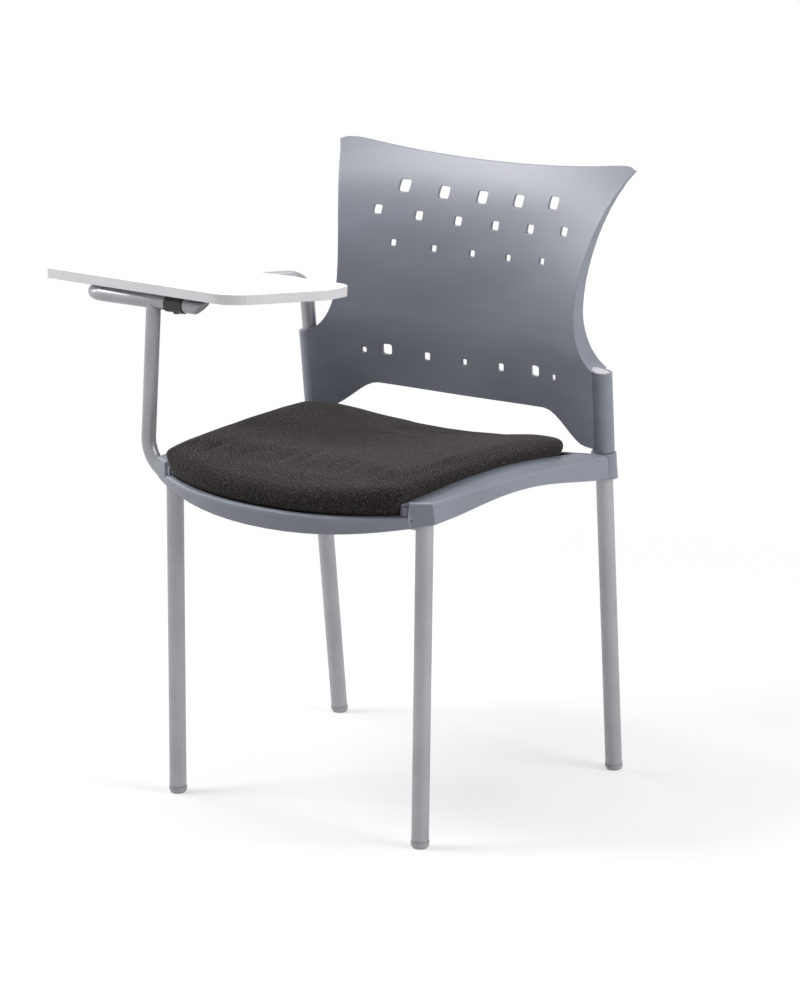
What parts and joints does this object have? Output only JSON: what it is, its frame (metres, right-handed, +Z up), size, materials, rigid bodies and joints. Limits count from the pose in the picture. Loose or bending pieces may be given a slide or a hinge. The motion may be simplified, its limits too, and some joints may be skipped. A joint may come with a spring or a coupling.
{
  "type": "tablet arm chair",
  "caption": "Four-legged tubular steel chair with a moulded seat tray and cushion, a perforated moulded backrest and a writing tablet that tips up on a bent arm.",
  "frame": {"origin": "centre of the bounding box, on the floor under the glides", "axes": "+Z up, -Y towards the front of the seat, +X to the sitter's left; the tablet arm is on the -X side"},
  "size_m": [0.663, 0.5125, 0.7953],
  "materials": {
    "frame_steel": "satin silver-grey powder coat",
    "glide_plastic": "moulded grey, lightly scuffed",
    "shell_plastic": "fine-grained moulded grey",
    "screw_steel": "zinc plated",
    "seat_board": "raw plywood",
    "seat_fabric": "black woven upholstery",
    "plug_plastic": "moulded grey",
    "collar_plastic": "black nylon",
    "pin_steel": "turned",
    "tablet_laminate": "white laminated board",
    "edge_plastic": "light grey edge band"
  },
  "bodies": {
    "chair": {"front_leg_left": "frame_steel", "front_leg_right": "frame_steel", "rear_leg_left": "frame_steel", "rear_leg_right": "frame_steel", "side_rail_left": "frame_steel", "side_rail_right": "frame_steel", "front_cross_tube": "frame_steel", "rear_cross_tube": "frame_steel", "arm_socket": "frame_steel", "front_glide_left": "glide_plastic", "front_glide_right": "glide_plastic", "rear_glide_left": "glide_plastic", "rear_glide_right": "glide_plastic", "seat_shell": "shell_plastic", "seat_screws": "screw_steel", "cushion_board": "seat_board", "seat_cushion": "seat_fabric", "board_screws": "screw_steel", "back_shell": "shell_plastic", "back_screws": "screw_steel", "upright_plug": "plug_plastic", "arm_tube": "frame_steel", "arm_post": "frame_steel", "pivot_collar": "collar_plastic", "collar_screw": "screw_steel"},
    "tablet": {"pivot_pin": "pin_steel", "carrier_tube": "frame_steel", "carrier_plate": "frame_steel", "tablet_board": "tablet_laminate", "tablet_edge_band": "edge_plastic", "tablet_screws": "screw_steel"}
  },
  "joints": [
    {"name": "tablet_flip", "type": "hinge", "parent": "chair", "child": "tablet", "pos_m": [-0.12303, -0.15375, 0.633], "axis": [1, 0, 0], "range_deg": [0, 90]}
  ]
}
